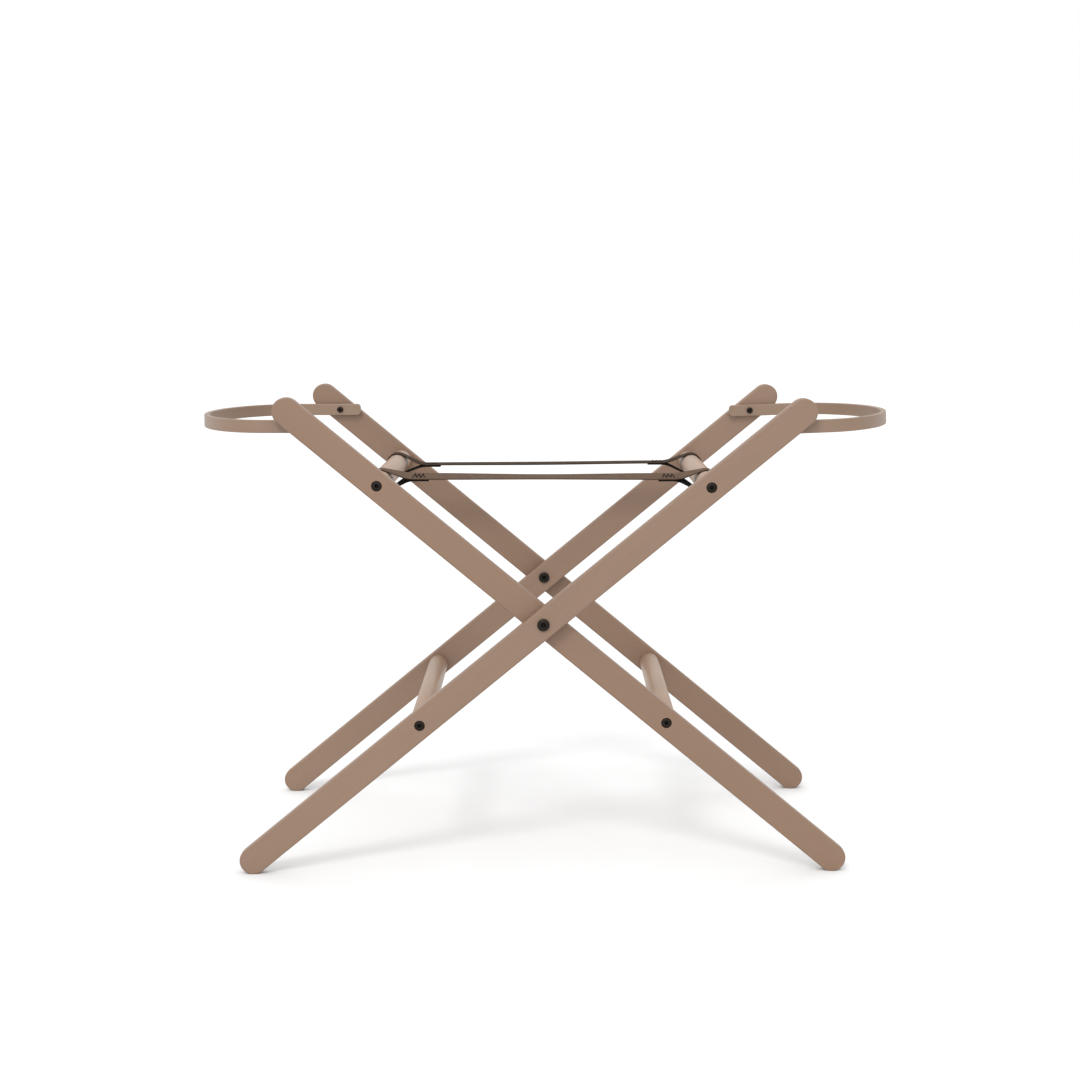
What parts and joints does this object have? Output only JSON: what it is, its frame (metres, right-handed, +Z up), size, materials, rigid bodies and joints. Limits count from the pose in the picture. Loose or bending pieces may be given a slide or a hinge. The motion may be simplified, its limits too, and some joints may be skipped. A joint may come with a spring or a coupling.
{
  "type": "bassinet stand",
  "caption": "Folding wooden stand for a bassinet basket: crossing leg frames, dowel crossbars, webbing straps and a hinged bentwood hoop at each end.",
  "frame": {"origin": "on the floor, at the middle of the stand in X and Y", "axes": "+X from hoop to hoop, +Y from front to rear, +Z up"},
  "size_m": [0.8302, 0.399, 0.5529],
  "materials": {
    "painted_leg": "satin taupe paint over wood, with faint grain",
    "painted_crossbar": "satin taupe paint over turned wood",
    "painted_hoop": "satin taupe paint over bent wood",
    "black_steel": "black oxide, semi-gloss",
    "zinc": "zinc plated",
    "nylon": "matt black nylon",
    "webbing": "woven brown webbing"
  },
  "bodies": {
    "frame_b": {"leg_b_outer": "painted_leg", "leg_b_inner": "painted_leg", "crossbar_b_upper": "painted_crossbar", "crossbar_b_lower": "painted_crossbar", "crossbar_bolt_b_upper_outer": "black_steel", "insert_b_upper_outer": "zinc", "crossbar_bolt_b_lower_outer": "black_steel", "insert_b_lower_outer": "zinc", "crossbar_bolt_b_upper_inner": "black_steel", "insert_b_upper_inner": "zinc", "crossbar_bolt_b_lower_inner": "black_steel", "insert_b_lower_inner": "zinc", "pivot_bolt_b": "black_steel", "pivot_nut_b": "black_steel", "pivot_washer_b": "nylon", "hoop_screw_b_outer": "black_steel", "hoop_washer_b_outer": "nylon", "hoop_screw_b_inner": "black_steel", "hoop_washer_b_inner": "nylon", "strap_front": "webbing", "strap_rear": "webbing"},
    "frame_a": {"leg_a_outer": "painted_leg", "leg_a_inner": "painted_leg", "crossbar_a_upper": "painted_crossbar", "crossbar_a_lower": "painted_crossbar", "crossbar_bolt_a_upper_outer": "black_steel", "insert_a_upper_outer": "zinc", "crossbar_bolt_a_lower_outer": "black_steel", "insert_a_lower_outer": "zinc", "crossbar_bolt_a_upper_inner": "black_steel", "insert_a_upper_inner": "zinc", "crossbar_bolt_a_lower_inner": "black_steel", "insert_a_lower_inner": "zinc", "pivot_bolt_a": "black_steel", "pivot_nut_a": "black_steel", "pivot_washer_a": "nylon", "hoop_screw_a_outer": "black_steel", "hoop_washer_a_outer": "nylon", "hoop_screw_a_inner": "black_steel", "hoop_washer_a_inner": "nylon"},
    "hoop_left": {"hoop_b": "painted_hoop"},
    "hoop_right": {"hoop_a": "painted_hoop"}
  },
  "joints": [
    {"name": "frame_fold", "type": "hinge", "parent": "frame_b", "child": "frame_a", "pos_m": [0, 0, 0.29469], "axis": [0, -1, 0], "range_deg": [0, 91], "deforming": ["strap_front", "strap_rear"]},
    {"name": "left_hoop_pivot", "type": "hinge", "parent": "frame_b", "child": "hoop_left", "pos_m": [-0.27122, 0, 0.51906], "axis": [0, 1, 0], "range_deg": [-128, 39]},
    {"name": "right_hoop_pivot", "type": "hinge", "parent": "frame_a", "child": "hoop_right", "pos_m": [0.27122, 0, 0.51906], "axis": [0, -1, 0], "range_deg": [-130, 37]}
  ]
}
